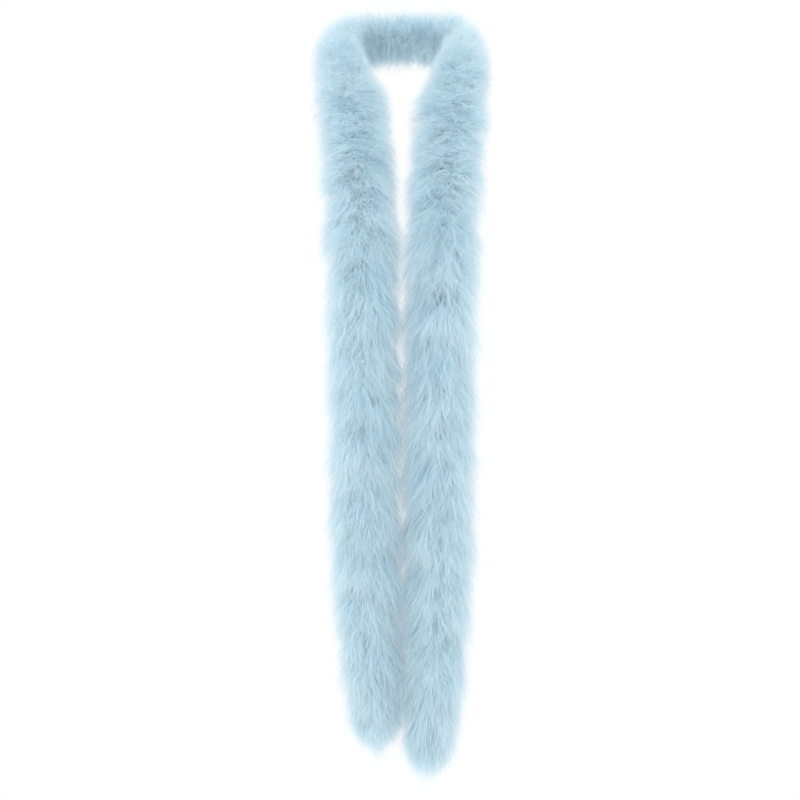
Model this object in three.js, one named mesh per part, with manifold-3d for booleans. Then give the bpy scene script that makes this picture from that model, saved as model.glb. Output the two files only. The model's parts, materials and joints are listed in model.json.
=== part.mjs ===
// A marabou feather boa, hung round a neck with both tails down the front.
// Wraps of down plumes are lashed along a cotton cord, which ends in a whipping and a knot at each tip.
// Millimetres, +Z up, +X to the right as seen from the front, -Y forward.
// The origin is the centre of the neck opening, level with the neck.
import * as THREE from "three";
import { mergeVertices } from "three/addons/utils/BufferGeometryUtils.js";
import Module from "manifold-3d";

const wasm = await Module();
wasm.setup();

// The cord and what is bound on it.
const CORD_DIAMETER = 4;
const BINDING_THICKNESS = 0.8; // thread lashed over the quill butts
const WHIPPING_THICKNESS = 1.2;
const WHIPPING_LENGTH = 8;
const WHIPPING_INSET = 2; // bare cord between a whipping and its knot
const KNOT_DIAMETER = 11;

// The plumage, as radii from the cord.
const COLLAR_RADIUS = 37;
const TAIL_RADIUS = 42;
const TIP_RADIUS = 31;
const TIP_TAPER = 220; // length over which a tail narrows to its tip
const NECK_SIDE = 14; // depth of the plumage that the neck flattens
const NECK_HOLD = 100; // each side of the nape, fully flattened this far
const NECK_FREE = 230; // and round again from here on
const SHOULDER_ROUNDING = 3; // how far each wrap draws in at its two ends

// The joints: distance along the cord from each bend to the next, and how far each one bends.
const LEFT_LOWER_LENGTH = 241;
const RIGHT_LOWER_LENGTH = 271;
const UPPER_LENGTH = 285;
const SWAY_DEGREES = 35;
const FOLD_DEGREES = 70;

// Wraps on each link.
const LEFT_LOWER_WRAPS = 4;
const RIGHT_LOWER_WRAPS = 5;
const UPPER_WRAPS = 5;
const COLLAR_WRAPS = 17;

// Clearances.
const GAP = 0.4; // between a cord, its binding and a whipping
const WRAP_GAP = 0.6; // between neighbouring wraps
const BORE_CLEARANCE = 1.4; // between the binding and a wrap's bore
const BEND_CLEARANCE = 1.5; // between the wraps on the two sides of a bend, at its full turn
const LINK_CLEARANCE = 0.3; // between the two links at a bend, at its full turn

// Facets.
const CORD_SIDES = 8;
const WRAP_SIDES = 10;
const LOWER_STEPS = 8;
const UPPER_STEPS = 10;
const COLLAR_STEPS = 44;
const KNOT_SIDES = 12;
const KNOT_RINGS = 8;
const ROUTE_SAMPLES = 2000;
const FRAME_COUNT = 400;

// The cord's route, from the left tip round the back of the neck to the right tip.
const ROUTE = [
  [-31, -128, -826],
  [-34, -128, -780],
  [-39, -128, -690],
  [-43, -128, -600],
  [-44, -129, -500],
  [-45, -129, -410],
  [-46, -127, -330],
  [-48, -121, -262],
  [-51, -109, -202],
  [-54, -91, -148],
  [-58, -69, -102],
  [-63, -46, -65],
  [-68, -20, -33],
  [-68, 9, -8],
  [-57, 39, 11],
  [-33, 61, 19],
  [0, 69, 21],
  [33, 61, 19],
  [57, 39, 11],
  [68, 9, -8],
  [68, -20, -33],
  [63, -46, -65],
  [58, -69, -102],
  [54, -91, -148],
  [51, -109, -202],
  [48, -121, -262],
  [46, -127, -330],
  [45, -129, -410],
  [44, -129, -500],
  [43, -128, -600],
  [40, -128, -690],
  [36, -128, -780],
  [32, -128, -856],
];

const cordRadius = CORD_DIAMETER / 2;
const bindingBore = cordRadius + GAP;
const bindingRadius = bindingBore + BINDING_THICKNESS;
const whippingRadius = bindingBore + WHIPPING_THICKNESS;
const wrapBore = bindingRadius + BORE_CLEARANCE;

// How far the cord stops short of the ball's centre at a bend, and its binding short of the bend.
const cordRoom = cordRadius + LINK_CLEARANCE;
const bindingRoom = cornerReach(bindingRadius, FOLD_DEGREES) + LINK_CLEARANCE;

const route = new THREE.CatmullRomCurve3(
  ROUTE.map((p) => new THREE.Vector3(...p)),
  false,
  "centripetal",
);
route.arcLengthDivisions = ROUTE_SAMPLES;
const cordLength = route.getLength();
const nape = distanceToNape();
const frames = route.computeFrenetFrames(FRAME_COUNT, false);

// Where the bends are, along the cord from the left tip.
const leftFold = LEFT_LOWER_LENGTH;
const leftSway = leftFold + UPPER_LENGTH;
const rightFold = cordLength - RIGHT_LOWER_LENGTH;
const rightSway = rightFold - UPPER_LENGTH;

// A wrap beside a bend stands back far enough for the plumage to fold.
const swayRoom = cornerReach(TAIL_RADIUS, SWAY_DEGREES) + BEND_CLEARANCE;
const foldRoom = cornerReach(TAIL_RADIUS, FOLD_DEGREES) + BEND_CLEARANCE;

const plumeMaterial = new THREE.MeshStandardMaterial({
  color: 0xbedbe8,
  roughness: 0.95,
  metalness: 0,
});
const cordMaterial = new THREE.MeshStandardMaterial({
  color: 0xc9dde6,
  roughness: 0.9,
  metalness: 0,
});
const threadMaterial = new THREE.MeshStandardMaterial({
  color: 0xd6e6ee,
  roughness: 0.7,
  metalness: 0,
});

// How far along the cord the corner of a round piece reaches when it bends.
function cornerReach(radius, degrees) {
  return radius * Math.tan(THREE.MathUtils.degToRad(degrees / 2));
}

// The distance along the cord at which it passes behind the neck's middle.
function distanceToNape() {
  let furthestBack = -Infinity;
  let best = 0;
  for (let i = 0; i <= ROUTE_SAMPLES; i++) {
    const { y } = route.getPointAt(i / ROUTE_SAMPLES);
    if (y > furthestBack) {
      furthestBack = y;
      best = i;
    }
  }
  return (best / ROUTE_SAMPLES) * cordLength;
}

// The plumage's radius at a distance along the cord: slim behind the neck, full down the tails,
// narrowing to the tips.
function plumeRadius(s) {
  const fromNape = Math.abs(s - nape);
  const fullness = THREE.MathUtils.smoothstep(fromNape, NECK_HOLD, NECK_FREE);
  const body = THREE.MathUtils.lerp(COLLAR_RADIUS, TAIL_RADIUS, fullness);
  const fromTip = Math.min(s, cordLength - s);
  const taper = THREE.MathUtils.clamp(fromTip / TIP_TAPER, 0, 1);
  return Math.min(body, THREE.MathUtils.lerp(TIP_RADIUS, TAIL_RADIUS, taper));
}

// The stretch of the route between two distances along the cord, as a curve of its own.
class Stretch extends THREE.Curve {
  constructor(from, to) {
    super();
    this.from = from;
    this.to = to;
  }

  getPoint(t, target = new THREE.Vector3()) {
    const s = THREE.MathUtils.lerp(this.from, this.to, t);
    return route.getPointAt(THREE.MathUtils.clamp(s / cordLength, 0, 1), target);
  }
}

// Bends a piece that was made straight along Z, with Z as the distance along the cord.
// Beside the neck, what lies beyond the bore on the neck's side is flattened.
function layAlong(geometry) {
  const position = geometry.getAttribute("position");
  for (let i = 0; i < position.count; i++) {
    const s = position.getZ(i);
    const u = THREE.MathUtils.clamp(s / cordLength, 0, 1);
    const point = route.getPointAt(u);
    const tangent = route.getTangentAt(u);
    const side = frames.normals[Math.round(u * FRAME_COUNT)].clone();
    side.addScaledVector(tangent, -side.dot(tangent)).normalize();
    const across = new THREE.Vector3().crossVectors(tangent, side);
    const offset = side.multiplyScalar(position.getX(i)).addScaledVector(across, position.getY(i));
    const r = offset.length();
    if (r > wrapBore) {
      offset.multiplyScalar((wrapBore + (r - wrapBore) * flattening(s, point, offset)) / r);
    }
    point.add(offset);
    position.setXYZ(i, point.x, point.y, point.z);
  }
  return geometry;
}

// How much of its depth the plumage keeps in the direction of an offset: all of it, except
// towards the neck.
function flattening(s, point, offset) {
  const held = 1 - THREE.MathUtils.smoothstep(Math.abs(s - nape), NECK_HOLD, NECK_FREE);
  const toNeck = new THREE.Vector3(-point.x, -point.y, 0).normalize();
  const facing = Math.max(0, toNeck.dot(offset) / offset.length());
  return 1 - held * facing * (1 - NECK_SIDE / COLLAR_RADIUS);
}

function circle(radius, Kind) {
  const points = [];
  for (let i = 0; i < CORD_SIDES; i++) {
    const a = (2 * Math.PI * i) / CORD_SIDES;
    points.push(new THREE.Vector2(radius * Math.cos(a), radius * Math.sin(a)));
  }
  return new Kind(points);
}

// A length of round cord, or of the binding round it when a bore is given.
function cordGeometry(from, to, steps, radius, bore = 0) {
  const section = circle(radius, THREE.Shape);
  if (bore) section.holes.push(circle(bore, THREE.Path));
  return new THREE.ExtrudeGeometry(section, { steps, extrudePath: new Stretch(from, to) });
}

// A closed geometry as a solid for joining.
function solidOf(geometry) {
  const bare = geometry.clone();
  bare.deleteAttribute("normal");
  bare.deleteAttribute("uv");
  const merged = mergeVertices(bare, 1e-3);
  return new wasm.Manifold(
    new wasm.Mesh({
      numProp: 3,
      vertProperties: merged.getAttribute("position").array,
      triVerts: new Uint32Array(merged.index.array),
    }),
  );
}

function geometryOf(solid) {
  const mesh = solid.getMesh();
  const geometry = new THREE.BufferGeometry();
  geometry.setAttribute("position", new THREE.BufferAttribute(mesh.vertProperties, 3));
  geometry.setIndex(new THREE.BufferAttribute(mesh.triVerts, 1));
  geometry.computeVertexNormals();
  return geometry;
}

// A cord link that turns at one end has a ball there, centred on the bend.
function withBall(geometry, s) {
  const centre = route.getPointAt(s / cordLength);
  const ball = new THREE.SphereGeometry(cordRadius, CORD_SIDES, CORD_SIDES - 2);
  ball.translate(centre.x, centre.y, centre.z);
  return geometryOf(solidOf(geometry).add(solidOf(ball)));
}

// A soft ring of plumes round the cord, drawn in a little at both ends.
function wrapGeometry(from, to) {
  const third = (to - from) / 3;
  const stations = [from, from + third, to - third, to];
  const profile = stations.map((s, i) => {
    const drawnIn = i === 0 || i === stations.length - 1 ? SHOULDER_ROUNDING : 0;
    return new THREE.Vector2(plumeRadius(s) - drawnIn, s);
  });
  for (const s of stations.toReversed()) profile.push(new THREE.Vector2(wrapBore, s));
  profile.push(profile[0].clone());
  const ring = new THREE.LatheGeometry(profile, WRAP_SIDES);
  ring.rotateX(Math.PI / 2); // the lathe's Y axis becomes Z
  return layAlong(ring);
}

// Thread turns round the cord's end, just inside the knot.
function whippingGeometry(from) {
  return cordGeometry(from, from + WHIPPING_LENGTH, 1, whippingRadius, bindingBore);
}

// The cord's knotted end, past the end of the straight cord.
function knotGeometry(s, outward) {
  const knot = new THREE.SphereGeometry(KNOT_DIAMETER / 2, KNOT_SIDES, KNOT_RINGS);
  const reach = KNOT_DIAMETER / 2 + GAP;
  const centre = route.getPointAt(s / cordLength);
  centre.addScaledVector(route.getTangentAt(s / cordLength), outward * reach);
  knot.translate(centre.x, centre.y, centre.z);
  return knot;
}

const boa = new THREE.Group();

function add(name, geometry, material) {
  const mesh = new THREE.Mesh(geometry, material);
  mesh.name = name;
  boa.add(mesh);
}

// Wraps side by side over a stretch, numbered from the left tip's side.
function addWraps(name, from, to, count) {
  const pitch = (to - from) / count;
  for (let i = 0; i < count; i++) {
    const start = from + i * pitch + WRAP_GAP / 2;
    const number = String(i + 1).padStart(2, "0");
    add(name + "_" + number, wrapGeometry(start, start + pitch - WRAP_GAP), plumeMaterial);
  }
}

// The cord in five links, each with its binding.
const links = [
  { name: "left_lower", from: 0, to: leftFold, steps: LOWER_STEPS, ball: leftFold },
  { name: "left_upper", from: leftFold, to: leftSway, steps: UPPER_STEPS, ball: leftSway },
  { name: "collar", from: leftSway, to: rightSway, steps: COLLAR_STEPS },
  { name: "right_upper", from: rightSway, to: rightFold, steps: UPPER_STEPS, ball: rightSway },
  { name: "right_lower", from: rightFold, to: cordLength, steps: LOWER_STEPS, ball: rightFold },
];
const plumeStart = WHIPPING_INSET + WHIPPING_LENGTH + WRAP_GAP;
for (const link of links) {
  const atLeftTip = link.from === 0;
  const atRightTip = link.to === cordLength;
  const cordFrom = atLeftTip || link.ball === link.from ? link.from : link.from + cordRoom;
  const cordTo = atRightTip || link.ball === link.to ? link.to : link.to - cordRoom;
  const cord = cordGeometry(cordFrom, cordTo, link.steps, cordRadius);
  add("cord_" + link.name, link.ball ? withBall(cord, link.ball) : cord, cordMaterial);
  const boundFrom = atLeftTip ? plumeStart : link.from + bindingRoom;
  const boundTo = atRightTip ? cordLength - plumeStart : link.to - bindingRoom;
  const binding = cordGeometry(boundFrom, boundTo, link.steps, bindingRadius, bindingBore);
  add("binding_" + link.name, binding, threadMaterial);
}

// The plumage, in stretches between the bends, with a soft wrap over each bend.
const leftLowerEnd = leftFold - foldRoom;
const rightLowerEnd = rightFold + foldRoom;
addWraps("plumes_left_lower", plumeStart, leftLowerEnd, LEFT_LOWER_WRAPS);
addWraps("plumes_left_upper", leftFold + foldRoom, leftSway - swayRoom, UPPER_WRAPS);
addWraps("plumes_collar", leftSway + swayRoom, rightSway - swayRoom, COLLAR_WRAPS);
addWraps("plumes_right_upper", rightSway + swayRoom, rightFold - foldRoom, UPPER_WRAPS);
addWraps("plumes_right_lower", rightLowerEnd, cordLength - plumeStart, RIGHT_LOWER_WRAPS);
const bends = [
  { name: "plumes_left_fold", at: leftFold, room: foldRoom },
  { name: "plumes_left_sway", at: leftSway, room: swayRoom },
  { name: "plumes_right_sway", at: rightSway, room: swayRoom },
  { name: "plumes_right_fold", at: rightFold, room: foldRoom },
];
for (const bend of bends) {
  const half = bend.room - WRAP_GAP / 2;
  add(bend.name, wrapGeometry(bend.at - half, bend.at + half), plumeMaterial);
}

// Both tips.
const rightWhippingStart = cordLength - WHIPPING_INSET - WHIPPING_LENGTH;
add("whipping_left", whippingGeometry(WHIPPING_INSET), threadMaterial);
add("whipping_right", whippingGeometry(rightWhippingStart), threadMaterial);
add("knot_left", knotGeometry(0, -1), cordMaterial);
add("knot_right", knotGeometry(cordLength, 1), cordMaterial);

export default boa;
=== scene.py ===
# A marabou feather boa in pale ice blue, hung round a neck with both tails down the front.
# Metres, +Z up, +X to the right as seen from the front, -Y forward. The origin is the middle of
# the neck opening. The boa is put together as its maker does it: cord, plumes, lashing, knots.
import json
import math
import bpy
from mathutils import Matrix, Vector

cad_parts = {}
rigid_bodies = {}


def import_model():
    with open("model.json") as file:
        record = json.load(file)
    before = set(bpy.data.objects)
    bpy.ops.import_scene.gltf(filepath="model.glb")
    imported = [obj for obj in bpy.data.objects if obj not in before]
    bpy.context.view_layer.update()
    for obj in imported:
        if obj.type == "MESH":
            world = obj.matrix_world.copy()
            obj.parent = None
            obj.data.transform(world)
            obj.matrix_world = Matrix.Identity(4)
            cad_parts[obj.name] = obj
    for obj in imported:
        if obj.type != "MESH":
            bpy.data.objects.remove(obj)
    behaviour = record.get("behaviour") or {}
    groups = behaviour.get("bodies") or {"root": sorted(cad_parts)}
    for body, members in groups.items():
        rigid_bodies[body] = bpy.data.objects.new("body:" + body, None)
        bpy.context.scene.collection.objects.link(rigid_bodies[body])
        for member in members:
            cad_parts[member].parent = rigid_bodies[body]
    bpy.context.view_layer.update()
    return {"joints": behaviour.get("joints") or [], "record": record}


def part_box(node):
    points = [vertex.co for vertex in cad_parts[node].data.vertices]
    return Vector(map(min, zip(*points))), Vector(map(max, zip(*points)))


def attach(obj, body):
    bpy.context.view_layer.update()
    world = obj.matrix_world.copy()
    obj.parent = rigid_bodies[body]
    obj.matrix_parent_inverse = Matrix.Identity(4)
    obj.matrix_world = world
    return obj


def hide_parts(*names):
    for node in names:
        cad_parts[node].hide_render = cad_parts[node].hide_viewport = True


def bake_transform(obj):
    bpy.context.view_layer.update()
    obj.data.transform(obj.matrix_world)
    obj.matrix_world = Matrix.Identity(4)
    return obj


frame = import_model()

from types import SimpleNamespace

import bpy
import numpy as np


# ---------------------------------------------------------------------------------------------
# The studio: a white surround, soft light from the front, and a pale floor where the wearer
# would stand. The camera is level with the middle of the tails, straight in front of them.

TAILS_Y = -0.128
MIDDLE_Z = -0.438
CAMERA_X = -0.0024
CAMERA_DISTANCE = 2.6
CAMERA_LENS = 99
SOFTBOX_SIZE = 1.2
SOFTBOX_LEFT = (-1.5, -2.4, 0.7)
SOFTBOX_RIGHT = (1.7, -2.2, 0.2)
FLOOR_Z = -1.45
FLOOR_RADIUS = 2.6

camera_data = bpy.data.cameras.new("front_camera")
camera_data.lens = CAMERA_LENS
camera = bpy.data.objects.new("front_camera", camera_data)
camera.location = (CAMERA_X, TAILS_Y - CAMERA_DISTANCE, MIDDLE_Z)
camera.rotation_euler = (math.pi / 2, 0, 0)
bpy.context.scene.collection.objects.link(camera)
bpy.context.scene.camera = camera
bpy.context.scene.view_settings.view_transform = "Standard"

surround = bpy.data.worlds.new("white_surround")
surround.use_nodes = True
surround.node_tree.nodes["Background"].inputs["Color"].default_value = (1.0, 1.0, 1.0, 1)
surround.node_tree.nodes["Background"].inputs["Strength"].default_value = 1.0
bpy.context.scene.world = surround


def softbox(name, place, power):
    """A square soft light that faces the middle of the boa."""
    data = bpy.data.lights.new(name, "AREA")
    data.size = SOFTBOX_SIZE
    data.energy = power
    light = bpy.data.objects.new(name, data)
    light.location = place
    aim = np.array((0.0, TAILS_Y, MIDDLE_Z)) - np.array(place)
    flat = math.hypot(aim[0], aim[1])
    light.rotation_euler = (math.atan2(flat, -aim[2]), 0, math.atan2(aim[1], aim[0]) - math.pi / 2)
    bpy.context.scene.collection.objects.link(light)


softbox("softbox_left", SOFTBOX_LEFT, 36)
softbox("softbox_right", SOFTBOX_RIGHT, 20)

bpy.ops.mesh.primitive_circle_add(
    vertices=96, radius=FLOOR_RADIUS, fill_type="NGON", location=(0, 0, FLOOR_Z)
)
floor = bpy.context.object
floor.name = "studio_floor"
floor_paint = bpy.data.materials.new("pale_floor")
floor_paint.use_nodes = True
floor_paint.node_tree.nodes["Principled BSDF"].inputs["Base Color"].default_value = (0.8, 0.8, 0.8, 1)
floor_paint.node_tree.nodes["Principled BSDF"].inputs["Roughness"].default_value = 0.9
floor.data.materials.append(floor_paint)


# ---------------------------------------------------------------------------------------------
# The cord: three cotton strands laid up into one limp cord, 4 mm thick, from tip to tip. It
# runs up one tail, round the back of the neck and down the other, and everything is tied on it.

STRAND_RADIUS = 0.00098
STRAND_ORBIT = 0.00102
STRAND_SIDES = 7
CORD_LAY = 0.013
RINGS_PER_LAY = 9
CORD_COLOUR = (0.70, 0.84, 0.90)
# The darker cord colour is painted shade for the grooves between the fibres.
CORD_PAINTED_SHADE = (0.52, 0.69, 0.77)
ROUTE = [
    (-0.031, -0.128, -0.826),
    (-0.034, -0.128, -0.780),
    (-0.039, -0.128, -0.690),
    (-0.043, -0.128, -0.600),
    (-0.044, -0.129, -0.500),
    (-0.045, -0.129, -0.410),
    (-0.046, -0.127, -0.330),
    (-0.048, -0.121, -0.262),
    (-0.051, -0.109, -0.202),
    (-0.054, -0.091, -0.148),
    (-0.058, -0.069, -0.102),
    (-0.063, -0.046, -0.065),
    (-0.068, -0.020, -0.033),
    (-0.068, 0.009, -0.008),
    (-0.057, 0.039, 0.011),
    (-0.033, 0.061, 0.019),
    (0.000, 0.069, 0.021),
    (0.033, 0.061, 0.019),
    (0.057, 0.039, 0.011),
    (0.068, 0.009, -0.008),
    (0.068, -0.020, -0.033),
    (0.063, -0.046, -0.065),
    (0.058, -0.069, -0.102),
    (0.054, -0.091, -0.148),
    (0.051, -0.109, -0.202),
    (0.048, -0.121, -0.262),
    (0.046, -0.127, -0.330),
    (0.045, -0.129, -0.410),
    (0.044, -0.129, -0.500),
    (0.043, -0.128, -0.600),
    (0.040, -0.128, -0.690),
    (0.036, -0.128, -0.780),
    (0.032, -0.128, -0.856),
]
STEPS_BETWEEN_POINTS = 60


def centripetal_spline(points, steps):
    """A smooth curve through the points, as a dense row of points."""
    p = np.array(points)
    p = np.vstack([2 * p[0] - p[1], p, 2 * p[-1] - p[-2]])
    t = np.linspace(0, 1, steps, endpoint=False)[:, None]
    pieces = []
    for a, b, c, d in zip(p, p[1:], p[2:], p[3:]):
        ab, bc, cd = (np.linalg.norm(v) ** 0.5 for v in (b - a, c - b, d - c))
        start = ((b - a) / ab - (c - a) / (ab + bc) + (c - b) / bc) * bc
        end = ((c - b) / bc - (d - b) / (bc + cd) + (d - c) / cd) * bc
        bend = 3 * (c - b) - 2 * start - end
        pieces.append(b + start * t + bend * t**2 + (2 * (b - c) + start + end) * t**3)
    return np.vstack([*pieces, p[-2]])


def distances_along(line):
    """How far along a row of points each one lies."""
    return np.concatenate([[0], np.cumsum(np.linalg.norm(np.diff(line, axis=0), axis=1))])


centreline = centripetal_spline(ROUTE, STEPS_BETWEEN_POINTS)
stations = distances_along(centreline)
CORD_LENGTH = stations[-1]
directions = np.gradient(centreline, stations, axis=0)
NAPE = stations[np.argmax(centreline[:, 1])]


def at_station(table, s):
    """What a table of one row for each station says at distances s along the cord."""
    return np.stack([np.interp(s, stations, table[:, i]) for i in range(3)], axis=-1)


def unit(v):
    """Vectors brought to length 1."""
    return v / np.maximum(np.linalg.norm(v, axis=-1, keepdims=True), 1e-12)


def cord_frame(s):
    """Point, direction and two cross directions at distances s. Past a tip the cord runs straight on."""
    inside = np.clip(s, 0, CORD_LENGTH)
    along = unit(at_station(directions, inside))
    point = at_station(centreline, inside) + along * (s - inside)[..., None]
    away = point * (1, 1, 0)
    out = unit(away - along * np.sum(away * along, axis=-1, keepdims=True))
    return point, along, out, np.cross(along, out)


def station_of(place):
    """The distance along the cord of the point on it nearest to a place."""
    return stations[np.argmin(np.linalg.norm(centreline - np.array(place), axis=1))]


def mesh_object(name, vertices, faces_by_size, uv):
    """A mesh from arrays: one array of faces for each number of corners, and a UV for each vertex."""
    corners = np.concatenate([f.ravel() for f in faces_by_size])
    sizes = np.concatenate([np.full(len(f), f.shape[1]) for f in faces_by_size])
    mesh = bpy.data.meshes.new(name)
    mesh.vertices.add(len(vertices))
    mesh.vertices.foreach_set("co", vertices.astype(np.float32).ravel())
    mesh.loops.add(len(corners))
    mesh.loops.foreach_set("vertex_index", corners.astype(np.int32))
    mesh.polygons.add(len(sizes))
    mesh.polygons.foreach_set("loop_start", (np.cumsum(sizes) - sizes).astype(np.int32))
    mesh.uv_layers.new(name="OFBake").uv.foreach_set("vector", uv[corners].astype(np.float32).ravel())
    mesh.update(calc_edges=True)
    thing = bpy.data.objects.new(name, mesh)
    bpy.context.scene.collection.objects.link(thing)
    return thing


def tubes(paths, radius, sides, up):
    """Closed round tubes, one along each row of paths (n, k, 3), as vertices, quads, caps and UVs."""
    n, k, _ = paths.shape
    along = unit(np.gradient(paths, axis=1))
    first = unit(up - along * np.sum(up * along, axis=-1, keepdims=True))
    second = np.cross(along, first)
    angle = np.arange(sides) * 2 * np.pi / sides
    radius = np.broadcast_to(radius, (n, k))[:, :, None, None]
    ring = first[:, :, None] * np.cos(angle)[:, None] + second[:, :, None] * np.sin(angle)[:, None]
    vertices = (paths[:, :, None] + ring * radius).reshape(-1, 3)
    index = np.arange(n * k * sides).reshape(n, k, sides)
    here, there = index[:, :-1], index[:, 1:]
    quads = np.stack([here, np.roll(here, -1, 2), np.roll(there, -1, 2), there], axis=-1).reshape(-1, 4)
    caps = np.concatenate([index[:, 0, ::-1], index[:, -1]])
    repeat = np.arange(k) % RINGS_PER_LAY / (RINGS_PER_LAY - 1)
    u = np.broadcast_to(repeat[None, :, None], (n, k, sides))
    v = np.broadcast_to(np.abs(np.linspace(-1, 1, sides, endpoint=False))[None, None], (n, k, sides))
    return vertices, quads, caps, np.stack([u, v], axis=-1).reshape(-1, 2)


def wound(frames, s, radius, pitch, start=0.0):
    """A path that winds round a line, and its outward directions, from the frames at distances s."""
    point, _, out, across = frames
    angle = (start + 2 * np.pi * s / pitch)[:, None]
    outward = out * np.cos(angle) + across * np.sin(angle)
    return point + outward * radius, outward


def wound_object(name, turns, radius, sides):
    """One piece made of the wound paths in turns, each a round thread or strand."""
    paths, outward = (np.stack(rows) for rows in zip(*turns))
    vertices, quads, caps, uv = tubes(paths, radius, sides, outward)
    return mesh_object(name, vertices, [quads, caps], uv)


def laid_cord(name, frames, s, squeeze=1.0):
    """Three strands laid up round a line. Where the cord is squeezed, squeeze is less than 1."""
    squeeze = np.broadcast_to(squeeze, s.shape)
    orbit = STRAND_ORBIT * squeeze[:, None]
    strands = [wound(frames, s, orbit, CORD_LAY, k * 2 * math.pi / 3) for k in range(3)]
    return wound_object(name, strands, STRAND_RADIUS * squeeze, STRAND_SIDES)


def link_up(tree, links):
    """Joins a material's nodes, each pair from an output to an input."""
    for output, target in links:
        tree.links.new(output, target)


def cotton(name, colour, painted_groove_shade, roughness, twist):
    """Dyed cotton: fibres run slantwise round the strand, paler on the crowns, with painted shade in the
    grooves between them.
    """
    paint = bpy.data.materials.new(name)
    paint.use_nodes = True
    tree = paint.node_tree
    shader = tree.nodes["Principled BSDF"]
    shader.inputs["Sheen Weight"].default_value = 0.25
    shader.inputs["Sheen Roughness"].default_value = 0.5
    where = tree.nodes.new("ShaderNodeUVMap")
    where.uv_map = "OFBake"
    stretch = tree.nodes.new("ShaderNodeMapping")
    stretch.inputs["Scale"].default_value = (twist, 3.0, 1.0)
    stretch.inputs["Rotation"].default_value = (0, 0, 0.6)
    fibres = tree.nodes.new("ShaderNodeTexWave")
    fibres.inputs["Scale"].default_value = 2.0
    fibres.inputs["Distortion"].default_value = 2.5
    fibres.inputs["Detail"].default_value = 3.0
    tint = tree.nodes.new("ShaderNodeValToRGB")
    # The ramp runs from painted shade in the grooves to the dyed colour on the crowns.
    tint.color_ramp.elements[0].color = (*painted_groove_shade, 1)
    tint.color_ramp.elements[1].color = (*colour, 1)
    wear = tree.nodes.new("ShaderNodeMapRange")
    wear.inputs["To Min"].default_value = roughness
    wear.inputs["To Max"].default_value = roughness - 0.15
    relief = tree.nodes.new("ShaderNodeBump")
    relief.inputs["Strength"].default_value = 0.4
    relief.inputs["Distance"].default_value = 0.0002
    link_up(tree, [
        (where.outputs["UV"], stretch.inputs["Vector"]),
        (stretch.outputs["Vector"], fibres.inputs["Vector"]),
        (fibres.outputs["Fac"], tint.inputs["Fac"]),
        (fibres.outputs["Fac"], wear.inputs["Value"]),
        (fibres.outputs["Fac"], relief.inputs["Height"]),
        (tint.outputs["Color"], shader.inputs["Base Color"]),
        (wear.outputs["Result"], shader.inputs["Roughness"]),
        (relief.outputs["Normal"], shader.inputs["Normal"]),
    ])
    return paint


cord_cotton = cotton("dyed_cord_cotton", CORD_COLOUR, CORD_PAINTED_SHADE, roughness=0.9, twist=6.0)

# Where the cord bends, and between which two bodies. A piece tied on the cord that reaches within BEND_REACH
# of the middle of a bend is left where it lies and given to no body.
BEND_REACH = 0.075
bends = [(station_of(joint["pos_m"]), joint["parent"], joint["child"]) for joint in frame["joints"]]


def carry(thing, body, s_from, s_to):
    """Makes a piece between two distances along the cord move with its body, or, if it reaches into a bend,
    leaves it where it lies with no body.
    """
    for middle, parent, child in bends:
        if s_to < middle - BEND_REACH or s_from > middle + BEND_REACH:
            continue
        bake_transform(thing)
        return
    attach(thing, body)


# The cord is made in four lengths, cut half-way between the bends.
left_bends = [middle for middle, _, _ in bends if middle < NAPE]
right_bends = [middle for middle, _, _ in bends if middle > NAPE]
left_cut, right_cut = sum(left_bends) / 2, sum(right_bends) / 2
cord_lengths = [
    ("left_end", 0.0, left_cut, "left_lower_tail", ["left_lower"]),
    ("left_collar", left_cut, NAPE, "collar", ["left_upper", "collar"]),
    ("right_collar", NAPE, right_cut, "collar", ["right_upper"]),
    ("right_end", right_cut, CORD_LENGTH, "right_lower_tail", ["right_lower"]),
]
cords = []
for name, s_from, s_to, body, links in cord_lengths:
    s = np.linspace(s_from, s_to, round((s_to - s_from) / CORD_LAY * RINGS_PER_LAY))
    cord = laid_cord(f"cord_{name}", cord_frame(s), s)
    cord.data.materials.append(cord_cotton)
    carry(cord, body, s_from, s_to)
    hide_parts(*[f"cord_{link}" for link in links])
    cords.append(cord)


# ---------------------------------------------------------------------------------------------
# The plumes: turkey down, dyed ice blue. Each one is a short thin quill that is lashed to the
# cord by its butt, with a soft shaft and long, loose, hair-fine barbs that curl out from it.
# They stand out all round near the neck and are combed down towards both tips.

# The plumage's outer radius behind the neck, down the tails and at the tips. Its swells: size,
# spacing and start. How thick it is where it lies on the neck, and how far from the nape the neck
# holds it and lets it go. The bore for the cord, the tips' brush, and the most a barb may reach.
COLLAR_RADIUS = 0.037
TAIL_RADIUS = 0.042
TIP_RADIUS = 0.031
TIP_TAPER = 0.22
SWELLS = ((0.045, 0.083, 0.0), (0.03, 0.051, 1.3))
NECK_SIDE = 0.014
NECK_HOLD = 0.1
NECK_FREE = 0.23
PLUME_BORE = 0.0046
TIP_BRUSH = 0.040
LONGEST_REACH = 0.057

PLUMES_PER_METRE = 2400
PLUMES_START = 0.0106
GOLDEN_ANGLE = math.pi * (3 - math.sqrt(5))
BARBS_PER_PLUME = 42
UNDER_DOWN_PER_PLUME = 9
TOP_DOWN_PER_PLUME = 13

# How hard the plumes are combed: a little at the nape, more between COMB_GROWS down the tails,
# and most in the last COMB_TIP_FROM. They part at the nape, within COMB_PARTING of it.
COMB_AT_NAPE = 0.12
COMB_DOWN_TAIL = 0.9
COMB_GROWS = (0.12, 0.48)
COMB_AT_TIP = 0.45
COMB_TIP_FROM = 0.16
COMB_PARTING = 0.03
COMB_UNEVEN = (0.75, 1.3)

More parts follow.
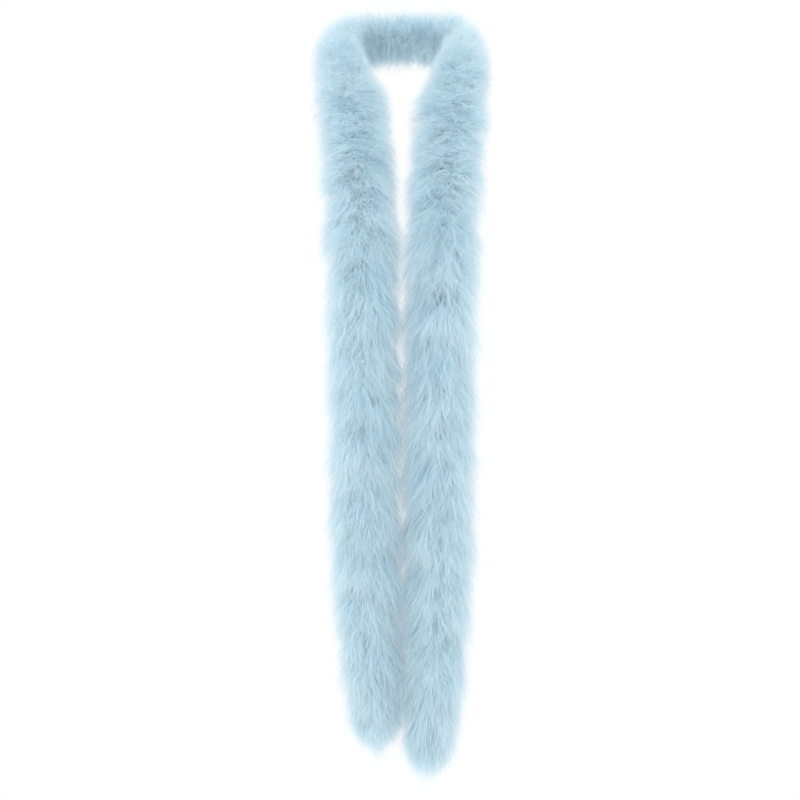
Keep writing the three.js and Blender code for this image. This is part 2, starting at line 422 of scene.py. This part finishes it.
# How much fuller or closer than usual the plumes stand, as a share of the plumage's radius, and
# between which distances from the nape, or from a tip, that sets in.
LOFT_ON_CHEST = 0.15
CHEST_FROM = (0.03, 0.08)
CLOSE_DOWN_TAIL = 0.10
CLOSE_FROM = (0.36, 0.5)
CLOSE_AT_TIP = 0.12
CLOSE_TIP_FROM = 0.12

# Least and most, as shares of the plumage's radius: how far the shafts reach and lean, how far the
# barbs reach, and how far the few strays do. BRUSH_LENGTHS are shares of TIP_BRUSH.
SHAFT_REACH = (0.5, 0.75)
SHAFT_LEAN = (0.25, 0.45)
BARB_REACH = (0.65, 1.24)
STRAY_REACH = (1.08, 1.36)
STRAY_BARBS = 0.11
BRUSH_LENGTHS = (0.3, 1.17)

# The quill: how far its butt lies back along the cord, how far its foot and butt are from the
# cord's middle, and its radius from butt to tip.
QUILL_BUTT = (0.006, 0.001)
QUILL_BUTT_ORBIT = 0.00245
QUILL_FOOT_ORBIT = 0.0027
QUILL_TAPER = (0.00034, 0.00036, 0.00032, 0.00026, 0.0002, 0.00013, 0.00004)

# Least and most widths, and how they narrow from root to tip.
BARB_WIDTH = (0.00020, 0.00040)
BARB_TAPER = np.array([1.0, 0.92, 0.72, 0.44, 0.0])
UNDER_DOWN_WIDTH = (0.0005, 0.0009)
UNDER_DOWN_TAPER = np.array([1.0, 1.0, 0.7, 0.0])
TOP_DOWN_WIDTH = (0.00025, 0.00045)
TOP_DOWN_TAPER = np.array([1.0, 0.95, 0.7, 0.0])
DOWN_CURL = 0.002

# Handling has ruffled the plumes a little, in patches. Each wave's size, how fast it runs along
# the cord and round it, and its start.
RUFFLES = ((0.15, 134, 2, 0), (0.11, 203, -1, 1))
LIFTS = ((0.004, 97, 1, 2), (0.003, 171, -2, 0))

DOWN_AT_QUILL = (0.69, 0.85, 0.91)
DOWN_HALF_WAY = (0.80, 0.904, 0.945)
DOWN_AT_TIP = (0.92, 0.967, 0.984)
MORE_DYE = (0.86, 0.94, 0.967)
LESS_DYE = (1.0, 1.0, 1.0)


def smooth(x, low, high):
    """0 below low, 1 above high, and an even change between them."""
    t = np.clip((x - low) / (high - low), 0, 1)
    return t * t * (3 - 2 * t)


def patches(waves, root, azimuth):
    """Uneven patches along the cord and round it."""
    return sum(
        size * np.sin(root * along + azimuth * round_it + start)
        for size, along, round_it, start in waves
    )


def plumage_radius(s):
    """The plumage's outer radius: slim behind the neck, full down the tails, narrowing to the tips."""
    down_tail = smooth(np.abs(s - NAPE), NECK_HOLD, NECK_FREE)
    body = COLLAR_RADIUS + (TAIL_RADIUS - COLLAR_RADIUS) * down_tail
    from_tip = np.minimum(s, CORD_LENGTH - s)
    taper = TIP_RADIUS + (TAIL_RADIUS - TIP_RADIUS) * np.clip(from_tip / TIP_TAPER, 0, 1)
    swell = sum(size * np.sin(s * 2 * np.pi / spacing + start) for size, spacing, start in SWELLS)
    return np.minimum(body, taper) * (1 + swell * (0.5 + 0.5 * down_tail))


def lay_on_cord(s, x, y):
    """Puts points x and y off the cord at distances s along it. The neck flattens what lies towards it."""
    point, _, out, across = cord_frame(s)
    offset = out * x[..., None] + across * y[..., None]
    r = np.maximum(np.linalg.norm(offset, axis=-1), 1e-9)
    held = 1 - smooth(np.abs(s - NAPE), NECK_HOLD, NECK_FREE)
    to_neck = unit(-point * (1, 1, 0))
    facing = np.maximum(0, np.sum(to_neck * offset, axis=-1) / r)
    keep = 1 - held * facing * (1 - NECK_SIDE / COLLAR_RADIUS)
    length = np.where(r > PLUME_BORE, PLUME_BORE + (r - PLUME_BORE) * keep, r)
    return point + offset * (length / r)[..., None]


def curl(rng, start, elbow, tip, steps, wave):
    """Curved hairs (n, steps + 1, 3) in the cord's own space (x, y, along), from start over elbow to tip."""
    t = np.linspace(0, 1, steps + 1)[None, :, None]
    line = start[:, None] * (1 - t) ** 2 + elbow[:, None] * 2 * t * (1 - t) + tip[:, None] * t**2
    sideways = unit(np.cross(tip - start, rng.normal(size=tip.shape)))[:, None]
    phase = rng.uniform(0, 2 * np.pi, (len(tip), 1, 1))
    turns = rng.uniform(0.6, 1.5, (len(tip), 1, 1))
    size = wave * rng.uniform(0.3, 1.0, (len(tip), 1, 1))
    return line + sideways * size * t * (np.sin(phase + 2 * np.pi * turns * t) - np.sin(phase))


def cylindrical(radius, angle, along):
    """Points in the cord's own space, from how far out they are, which way, and how far along."""
    return np.stack([radius * np.cos(angle), radius * np.sin(angle), along], axis=-1)


def ribbons(rng, hairs, width, taper, tint):
    """Flat tapering hairs along centrelines (n, k, 3), as vertices, quads, points and UVs."""
    n, k, _ = hairs.shape
    along = unit(np.gradient(hairs, axis=1))
    roll = unit(rng.normal(size=(n, 1, 3)))
    flat = unit(np.cross(along, roll))
    half = (width[:, None] * taper[None] / 2)[..., None]
    left, right = hairs - flat * half, hairs + flat * half
    body = np.stack([left[:, :-1], right[:, :-1]], axis=2).reshape(n, -1, 3)
    vertices = np.concatenate([body, hairs[:, -1:]], axis=1).reshape(-1, 3)
    per = 2 * k - 1
    base = (np.arange(n) * per)[:, None]
    step = 2 * np.arange(k - 2)[None]
    quads = np.stack([base + step, base + step + 1, base + step + 3, base + step + 2], -1).reshape(-1, 4)
    last = base[:, 0] + 2 * (k - 2)
    points = np.stack([last, last + 1, last + 2], axis=-1)
    v = np.concatenate([np.repeat(np.linspace(0, 1, k)[:-1], 2), [1.0]])
    uv = np.stack([np.repeat(tint, per), np.tile(v, n)], axis=-1)
    return vertices, quads, points, uv


def quill_tubes(paths, up, tint):
    """Tapering quills, three-sided, with the same kind of UVs as the barbs."""
    n, k, _ = paths.shape
    vertices, quads, caps, _ = tubes(paths, np.array(QUILL_TAPER)[None], 3, up)
    v = np.broadcast_to(np.linspace(0, 0.55, k)[None, :, None], (n, k, 3))
    u = np.broadcast_to(tint[:, None, None], (n, k, 3))
    return vertices, quads, caps, np.stack([u, v], axis=-1).reshape(-1, 2)


def joined(parts):
    """Several sets of quills and ribbons as one."""
    start = np.cumsum([0] + [len(p[0]) for p in parts])
    return (
        np.concatenate([p[0] for p in parts]),
        np.concatenate([p[1] + s for p, s in zip(parts, start)]),
        np.concatenate([p[2] + s for p, s in zip(parts, start)]),
        np.concatenate([p[3] for p in parts]),
    )


def tied_plumes(rng, s_from, s_to):
    """How each plume between two distances along the cord lies, and how much dye it took."""
    number = np.arange(math.ceil(s_from * PLUMES_PER_METRE), math.ceil(s_to * PLUMES_PER_METRE))
    n = len(number)
    root = number / PLUMES_PER_METRE
    azimuth = number * GOLDEN_ANGLE + rng.normal(0, 0.2, n)
    from_nape = np.abs(root - NAPE)
    from_tip = np.minimum(root, CORD_LENGTH - root)
    radius = plumage_radius(root)
    tint = 0.5 + 0.16 * np.sin(root * 41 + 2 * np.sin(azimuth)) + rng.normal(0, 0.13, n)

    # The plumes stand up on the chest and lie close far down the tails and at the tips.
    loft = LOFT_ON_CHEST * smooth(from_nape, *CHEST_FROM) - CLOSE_DOWN_TAIL * smooth(from_nape, *CLOSE_FROM)
    loft -= CLOSE_AT_TIP * (1 - smooth(from_tip, 0, CLOSE_TIP_FROM))
    fullness = loft + rng.normal(0, 0.055, n)

    # They are combed away from the nape, hardly at all near it and most at the tips.
    comb = COMB_AT_NAPE + COMB_DOWN_TAIL * smooth(from_nape, *COMB_GROWS)
    comb += COMB_AT_TIP * smooth(COMB_TIP_FROM - from_tip, 0, COMB_TIP_FROM)
    comb *= np.clip((root - NAPE) / COMB_PARTING, -1, 1)
    comb *= rng.uniform(*COMB_UNEVEN, n)
    ruffle = patches(RUFFLES, root, azimuth)
    lift = patches(LIFTS, root, azimuth)

    # The shaft leaves the cord outwards and leans over towards the tip of the tail.
    reach = radius * rng.uniform(*SHAFT_REACH, n)
    lean = comb * radius * rng.uniform(*SHAFT_LEAN, n)
    return SimpleNamespace(
        root=root,
        azimuth=azimuth,
        from_nape=from_nape,
        radius=radius,
        tint=tint,
        fullness=fullness,
        comb=comb,
        ruffle=ruffle,
        lift=lift,
        foot=cylindrical(np.full(n, QUILL_FOOT_ORBIT), azimuth, np.zeros(n)),
        knee=cylindrical(reach * 0.55, azimuth + rng.normal(0, 0.1, n), lean * 0.2),
        crown=cylindrical(reach, azimuth + ruffle * 0.5 + rng.normal(0, 0.2, n), lean + lift * 0.5),
    )


def on_shaft(plumes, owner, up):
    """Points on the owners' shafts, from 0 at the foot to 1 at the crown."""
    foot, knee, crown = plumes.foot[owner], plumes.knee[owner], plumes.crown[owner]
    return foot * (1 - up) ** 2 + knee * 2 * up * (1 - up) + crown * up**2


def barbs(rng, plumes):
    """Long barbs all the way up the shafts. Most end near the outer surface, and strays stand past it."""
    owner = np.repeat(np.arange(len(plumes.root)), BARBS_PER_PLUME)
    m = len(owner)
    up = rng.beta(1.5, 1.0, m)[:, None]
    start = on_shaft(plumes, owner, up)
    fullness = np.clip(rng.normal(0.98, 0.09, m) + plumes.fullness[owner], *BARB_REACH)
    stray = rng.random(m) < STRAY_BARBS
    fullness = np.where(stray, rng.uniform(*STRAY_REACH, m), fullness)
    spread = rng.normal(0, 0.5, m) + plumes.ruffle[owner]
    r = plumes.radius[owner]
    drop = plumes.comb[owner] * r * rng.uniform(0.85, 1.15, m)
    drop = drop + plumes.lift[owner] + rng.normal(0, 0.009, m)

    # Past the cord's end the barbs draw together into a brush.
    end_s = plumes.root[owner] + drop
    past = np.maximum(0, np.maximum(-end_s, end_s - CORD_LENGTH))
    drop -= np.sign(drop) * np.maximum(0, past - TIP_BRUSH * rng.uniform(*BRUSH_LENGTHS, m))
    narrowing = 1 - 0.7 * np.clip(past / TIP_BRUSH, 0, 1.2) ** 1.5
    far = np.minimum(r * fullness * narrowing, LONGEST_REACH)

    # Each barb goes out first and then droops.
    start_radius = np.linalg.norm(start[:, :2], axis=1)
    elbow = cylindrical(
        start_radius + (far - start_radius) * 0.82,
        plumes.azimuth[owner] + spread * 0.3,
        start[:, 2] + (drop - start[:, 2]) * 0.34,
    )
    tip = cylindrical(far, plumes.azimuth[owner] + spread, drop)
    curliness = 0.0016 + 0.0022 * (1 - smooth(plumes.from_nape, 0.3, 0.5))
    hairs = curl(rng, start, elbow, tip, 4, curliness[owner][:, None, None])
    width = rng.uniform(*BARB_WIDTH, m)
    tint = plumes.tint[owner] + rng.normal(0, 0.08, m)
    return owner, hairs, width, BARB_TAPER, tint


def under_down(rng, plumes):
    """Short wide fluff close to the quills, so that the cord doesn't show."""
    owner = np.repeat(np.arange(len(plumes.root)), UNDER_DOWN_PER_PLUME)
    m = len(owner)
    up = rng.uniform(0, 0.7, m)[:, None]
    start = plumes.foot[owner] * (1 - up) + plumes.knee[owner] * up
    angle = plumes.azimuth[owner] + rng.normal(0, 0.9, m)
    reach = plumes.radius[owner] * rng.uniform(0.4, 0.88, m)
    drop = plumes.comb[owner] * plumes.radius[owner] * rng.uniform(0.1, 0.6, m) + rng.normal(0, 0.008, m)
    tip = cylindrical(reach, angle, drop)
    elbow = (start + tip) / 2 + rng.normal(0, DOWN_CURL, (m, 3))
    hairs = curl(rng, start, elbow, tip, 3, DOWN_CURL)
    width = rng.uniform(*UNDER_DOWN_WIDTH, m)
    # The fluff is painted paler than its plume: painted light against the shade it lies in among the quills.
    tint = plumes.tint[owner] + 0.15 + rng.normal(0, 0.08, m)
    return owner, hairs, width, UNDER_DOWN_TAPER, tint


def top_down(rng, plumes):
    """Short loose barbs that curl every way round the upper shafts and close the surface."""
    owner = np.repeat(np.arange(len(plumes.root)), TOP_DOWN_PER_PLUME)
    m = len(owner)
    up = rng.uniform(0.4, 1.0, m)[:, None]
    start = on_shaft(plumes, owner, up)
    tip = start + rng.normal(0, 0.0075, (m, 3))
    tip[:, 2] += plumes.comb[owner] * 0.011
    reach = np.linalg.norm(tip[:, :2], axis=1)
    furthest = plumes.radius[owner] * (0.9 + plumes.fullness[owner]) * rng.uniform(0.75, 1.05, m)
    nearest = np.linalg.norm(start[:, :2], axis=1) * 1.15
    wanted = np.clip(reach, nearest, np.maximum(nearest, furthest))
    tip[:, :2] *= (wanted / np.maximum(reach, 0.001))[:, None]
    elbow = (start + tip) / 2 + rng.normal(0, DOWN_CURL, (m, 3))
    hairs = curl(rng, start, elbow, tip, 3, DOWN_CURL)
    width = rng.uniform(*TOP_DOWN_WIDTH, m)
    tint = plumes.tint[owner] + 0.1 + rng.normal(0, 0.08, m)
    return owner, hairs, width, TOP_DOWN_TAPER, tint


def tuft(rng, s_from, s_to):
    """All the plumes that are lashed on between two distances along the cord."""
    plumes = tied_plumes(rng, s_from, s_to)
    kinds = [barbs(rng, plumes), under_down(rng, plumes), top_down(rng, plumes)]

    # The quill's butt lies along the cord under the lashing, then the shaft tapers to nothing.
    shafts = curl(rng, plumes.foot, plumes.knee, plumes.crown, 4, 0.0008)
    heading = np.sign(plumes.root - NAPE + 1e-9)
    orbit = np.full(len(heading), QUILL_BUTT_ORBIT)
    butt = [cylindrical(orbit, plumes.azimuth, -heading * back) for back in QUILL_BUTT]
    quills = np.concatenate([np.stack(butt, axis=1), shafts], axis=1)
    laid = lay_on_cord(plumes.root[:, None] + quills[..., 2], quills[..., 0], quills[..., 1])
    _, _, out, _ = cord_frame(plumes.root)
    parts = [quill_tubes(laid, out[:, None], np.clip(plumes.tint, 0.02, 0.98))]
    for owner, hairs, width, taper, tint in kinds:
        laid = lay_on_cord(plumes.root[owner][:, None] + hairs[..., 2], hairs[..., 0], hairs[..., 1])
        parts.append(ribbons(rng, laid, width, taper, np.clip(tint, 0.02, 0.98)))
    return joined(parts)


def dyed_down():
    """Dyed down: deeper blue at the quill, paler at the tips, and a little uneven from plume to plume."""
    paint = bpy.data.materials.new("ice_blue_down")
    paint.use_nodes = True
    tree = paint.node_tree
    shader = tree.nodes["Principled BSDF"]
    shader.inputs["Sheen Weight"].default_value = 0.2
    shader.inputs["Sheen Roughness"].default_value = 0.4
    shader.inputs["Specular IOR Level"].default_value = 0.3
    where = tree.nodes.new("ShaderNodeUVMap")
    where.uv_map = "OFBake"
    split = tree.nodes.new("ShaderNodeSeparateXYZ")
    along = tree.nodes.new("ShaderNodeValToRGB")
    along.color_ramp.elements[0].color = (*DOWN_AT_QUILL, 1)
    along.color_ramp.elements[1].color = (*DOWN_AT_TIP, 1)
    along.color_ramp.elements.new(0.45).color = (*DOWN_HALF_WAY, 1)
    dye = tree.nodes.new("ShaderNodeValToRGB")
    dye.color_ramp.elements[0].color = (*MORE_DYE, 1)
    dye.color_ramp.elements[1].color = (*LESS_DYE, 1)
    taken = tree.nodes.new("ShaderNodeMix")
    taken.data_type = "RGBA"
    taken.blend_type = "MULTIPLY"
    taken.inputs["Factor"].default_value = 1.0
    rough = tree.nodes.new("ShaderNodeMapRange")
    rough.inputs["To Min"].default_value = 0.7
    rough.inputs["To Max"].default_value = 0.9
    glow = tree.nodes.new("ShaderNodeBsdfTranslucent")
    both = tree.nodes.new("ShaderNodeMixShader")
    both.inputs["Fac"].default_value = 0.5
    link_up(tree, [
        (where.outputs["UV"], split.inputs["Vector"]),
        (split.outputs["Y"], along.inputs["Fac"]),
        (split.outputs["X"], dye.inputs["Fac"]),
        (along.outputs["Color"], taken.inputs["A"]),
        (dye.outputs["Color"], taken.inputs["B"]),
        (taken.outputs["Result"], shader.inputs["Base Color"]),
        (taken.outputs["Result"], glow.inputs["Color"]),
        (split.outputs["Y"], rough.inputs["Value"]),
        (rough.outputs["Result"], shader.inputs["Roughness"]),
        (shader.outputs["BSDF"], both.inputs[1]),
        (glow.outputs["BSDF"], both.inputs[2]),
        (both.outputs["Shader"], tree.nodes["Material Output"].inputs["Surface"]),
    ])
    return paint


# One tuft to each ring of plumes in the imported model, from half-way to the ring before it to
# half-way to the ring after it. BARB_DROP is how far its barbs reach along the cord past that.
BARB_DROP = 0.05
down = dyed_down()
body_of_node = {n: b for b, nodes in frame["record"]["behaviour"]["bodies"].items() for n in nodes}
ring_nodes = [node for node in body_of_node if node.startswith("plumes_")]
rings = sorted((station_of(np.mean(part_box(node), axis=0)), node) for node in ring_nodes)
edges = [PLUMES_START]
edges += [(a + b) / 2 for (a, _), (b, _) in zip(rings, rings[1:])]
edges += [CORD_LENGTH - PLUMES_START]
for i, (_, node) in enumerate(rings):
    vertices, quads, points, uv = tuft(np.random.default_rng(100 + i), edges[i], edges[i + 1])
    piece = mesh_object(node.replace("plumes", "tuft"), vertices, [quads, points], uv)
    piece.data.materials.append(down)
    carry(piece, body_of_node[node], edges[i] - BARB_DROP, edges[i + 1] + BARB_DROP)
    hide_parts(node)


# ---------------------------------------------------------------------------------------------
# The lashing: dyed sewing thread, wound over the quill butts all the way along to bind them to
# the cord. A tight whipping of heavier thread at each end stops the lashing from running off.

LASHING_THREAD = 0.0004
LASHING_ORBIT = 0.0029
LASHING_PITCH = 0.0026
LASHING_STEPS_PER_TURN = 12
WHIPPING_THREAD = 0.0007
WHIPPING_PITCH = 0.00072
WHIPPING_ORBIT = 0.00238
WHIPPING_OVER_ORBIT = 0.003
WHIPPING_LENGTH = 0.008
WHIPPING_INSET = 0.002
WHIPPING_STEPS = 150
THREAD_COLOUR = (0.66, 0.81, 0.88)
# The darker thread colour is painted shade for the grooves between the fibres.
THREAD_PAINTED_SHADE = (0.46, 0.63, 0.72)

thread_cotton = cotton("dyed_lashing_thread", THREAD_COLOUR, THREAD_PAINTED_SHADE, roughness=0.7, twist=14.0)

for name, s_from, s_to, body, links in cord_lengths:
    s_from = max(s_from, PLUMES_START)
    s_to = min(s_to, CORD_LENGTH - PLUMES_START)
    s = np.linspace(s_from, s_to, round((s_to - s_from) / LASHING_PITCH * LASHING_STEPS_PER_TURN))
    turns = [wound(cord_frame(s), s, LASHING_ORBIT, LASHING_PITCH)]
    lashing = wound_object(f"lashing_{name}", turns, LASHING_THREAD / 2, 4)
    lashing.data.materials.append(thread_cotton)
    carry(lashing, body, s_from, s_to)
    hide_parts(*[f"binding_{link}" for link in links])

# The whipping is wound along the bare cord and then back over itself.
for side, start in (("left", WHIPPING_INSET), ("right", CORD_LENGTH - WHIPPING_INSET - WHIPPING_LENGTH)):
    s = np.linspace(start, start + WHIPPING_LENGTH, WHIPPING_STEPS)
    turns = [
        wound(cord_frame(s), s, WHIPPING_ORBIT, WHIPPING_PITCH),
        wound(cord_frame(s), s, WHIPPING_OVER_ORBIT, -WHIPPING_PITCH),
    ]
    whipping = wound_object(f"whipping_{side}_thread", turns, WHIPPING_THREAD / 2, 6)
    whipping.data.materials.append(thread_cotton)
    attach(whipping, f"{side}_lower_tail")
    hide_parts(f"whipping_{side}")


# ---------------------------------------------------------------------------------------------
# The knots: an overhand knot in each end of the cord, pulled tight against the whipping, with
# its end trimmed short. The cord is squeezed where it is knotted. The plumes' tips hide it.

KNOT_COIL = 0.0015
KNOT_DEPTH = 1.15
KNOT_SQUEEZE = 0.72
KNOT_SQUEEZED_BY = 0.005
KNOT_LEAD = [(0.0, 0.0, 0.0068), (0.0002, 0.0, 0.0052), (0.0023, 0.0020, 0.0034)]
KNOT_TRIMMED_END = [(0.0034, -0.0015, -0.0030), (0.0031, -0.0015, -0.0054)]


def overhand_knot():
    """The knot's line about its own middle: down into it, twice round through its own loop, and out."""
    t = np.linspace(0.5, 2 * math.pi - 0.5, 15)
    wide = (2 + np.cos(3 * t)) * KNOT_COIL
    deep = KNOT_DEPTH * KNOT_COIL * np.sin(3 * t)
    coil = np.stack([wide * np.cos(2 * t), wide * np.sin(2 * t), deep], axis=-1)
    return centripetal_spline([*KNOT_LEAD, *coil, *KNOT_TRIMMED_END], 12)


def frames_along(line, s, normal):
    """Frames along a line, like the cord's, that don't twist. The first one faces the normal."""
    heading = unit(np.gradient(line, s, axis=0))
    normals = []
    for h in heading:
        normal = unit(normal - h * np.dot(normal, h))
        normals.append(normal)
    return line, heading, np.array(normals), np.cross(heading, normals)


for side, tip, to_tip in (("left", 0.0, -1.0), ("right", CORD_LENGTH, 1.0)):
    middle = np.mean(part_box(f"knot_{side}"), axis=0)
    _, along, out, across = cord_frame(np.array([tip]))
    x, y, z = np.split(overhand_knot(), 3, axis=1)
    line = middle + x * across + y * out - z * along * to_tip
    s = distances_along(line)
    squeeze = 1 - (1 - KNOT_SQUEEZE) * smooth(s, 0, KNOT_SQUEEZED_BY)
    knot = laid_cord(f"knot_{side}_end", frames_along(line, s, out[0]), s, squeeze)
    knot.data.materials.append(cord_cotton)
    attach(knot, f"{side}_lower_tail")
    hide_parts(f"knot_{side}")

# Each length of the cord, with its side and part read from its name.
for cord, (name, s_from, s_to, _, _) in zip(cords, cord_lengths):
    side, part = name.split("_")
